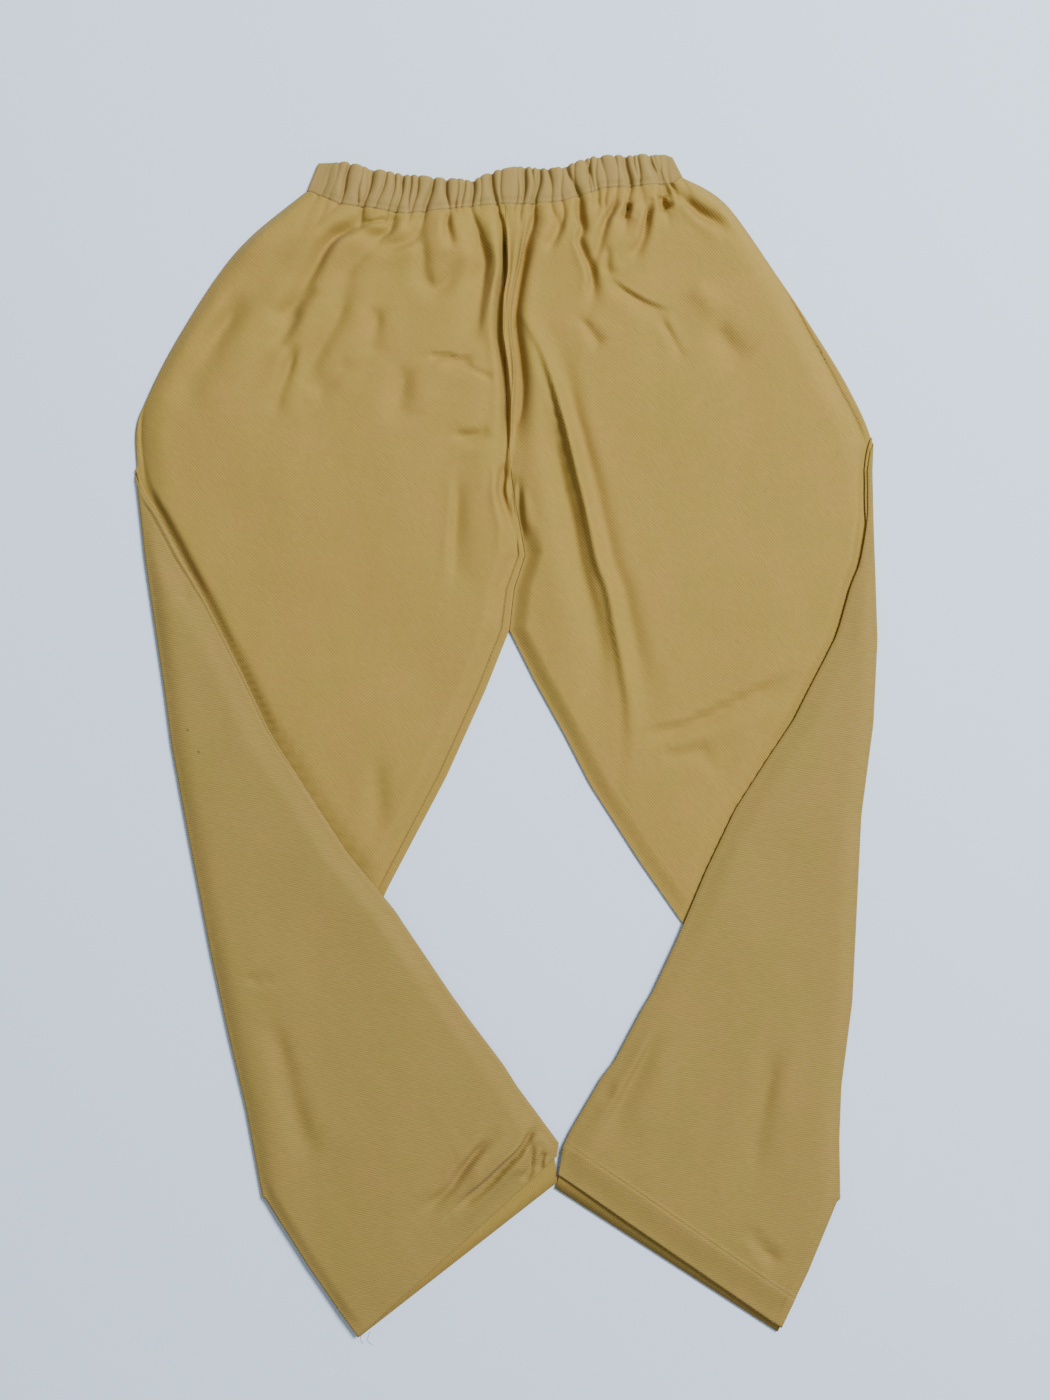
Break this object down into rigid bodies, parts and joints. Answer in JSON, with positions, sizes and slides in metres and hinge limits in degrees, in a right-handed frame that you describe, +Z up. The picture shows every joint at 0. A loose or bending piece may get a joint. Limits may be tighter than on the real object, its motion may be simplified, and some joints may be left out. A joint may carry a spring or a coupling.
{
  "type": "folded elastic-waist trousers",
  "caption": "Khaki cotton twill salwar trousers with a gathered elastic waist, laid flat with each lower leg folded inwards over the thigh.",
  "frame": {"origin": "centre of the garment's footprint, on the surface it lies on", "axes": "+Y towards the waist, +X to the viewer's right as seen from above with the waist at the top, +Z up from the surface"},
  "size_m": [0.6124, 0.9732, 0.0112],
  "materials": {
    "twill_front": "matt khaki cotton twill, front panels",
    "twill_back": "matt khaki cotton twill, back panels, outer face up on the folded lower legs",
    "twill_casing": "matt khaki cotton twill, gathered casing with topstitching"
  },
  "bodies": {
    "root": {"front_left": "twill_front", "front_right": "twill_front", "back_left": "twill_back", "back_right": "twill_back", "waistband": "twill_casing"}
  },
  "joints": []
}
